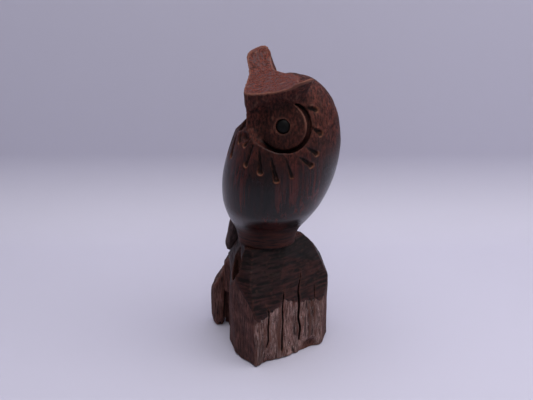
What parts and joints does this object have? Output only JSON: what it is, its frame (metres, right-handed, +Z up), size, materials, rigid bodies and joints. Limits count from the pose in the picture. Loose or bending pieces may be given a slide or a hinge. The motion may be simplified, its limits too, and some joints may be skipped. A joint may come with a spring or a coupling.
{
  "type": "carved owl figurine",
  "caption": "Carved hardwood owl, egg-shaped with ear tufts and a turned head, standing by a short collar on a rough log stump with chiselled shoulders and a split root spur.",
  "frame": {"origin": "centre of the footprint's bounding box, on the surface that the stump stands on", "axes": "+Z up; -Y towards the stump's front corner; +X towards the side that the body leans to"},
  "size_m": [0.1002, 0.088, 0.237],
  "materials": {
    "polished_wood": "waxed and polished body, matte knife-cut head",
    "raw_wood": "unpolished, rough vertical grain",
    "dark_inlay": "near-black plug, satin",
    "dowel_wood": "plain turned hardwood",
    "weathered_wood": "chisel-cut shoulders, grey weathered and cracked faces"
  },
  "bodies": {
    "root": {"owl_figure": "polished_wood", "tail": "raw_wood", "pupil_left": "dark_inlay", "pupil_right": "dark_inlay", "neck_dowel": "dowel_wood", "stump_base": "weathered_wood", "root_spur": "weathered_wood"}
  },
  "joints": []
}
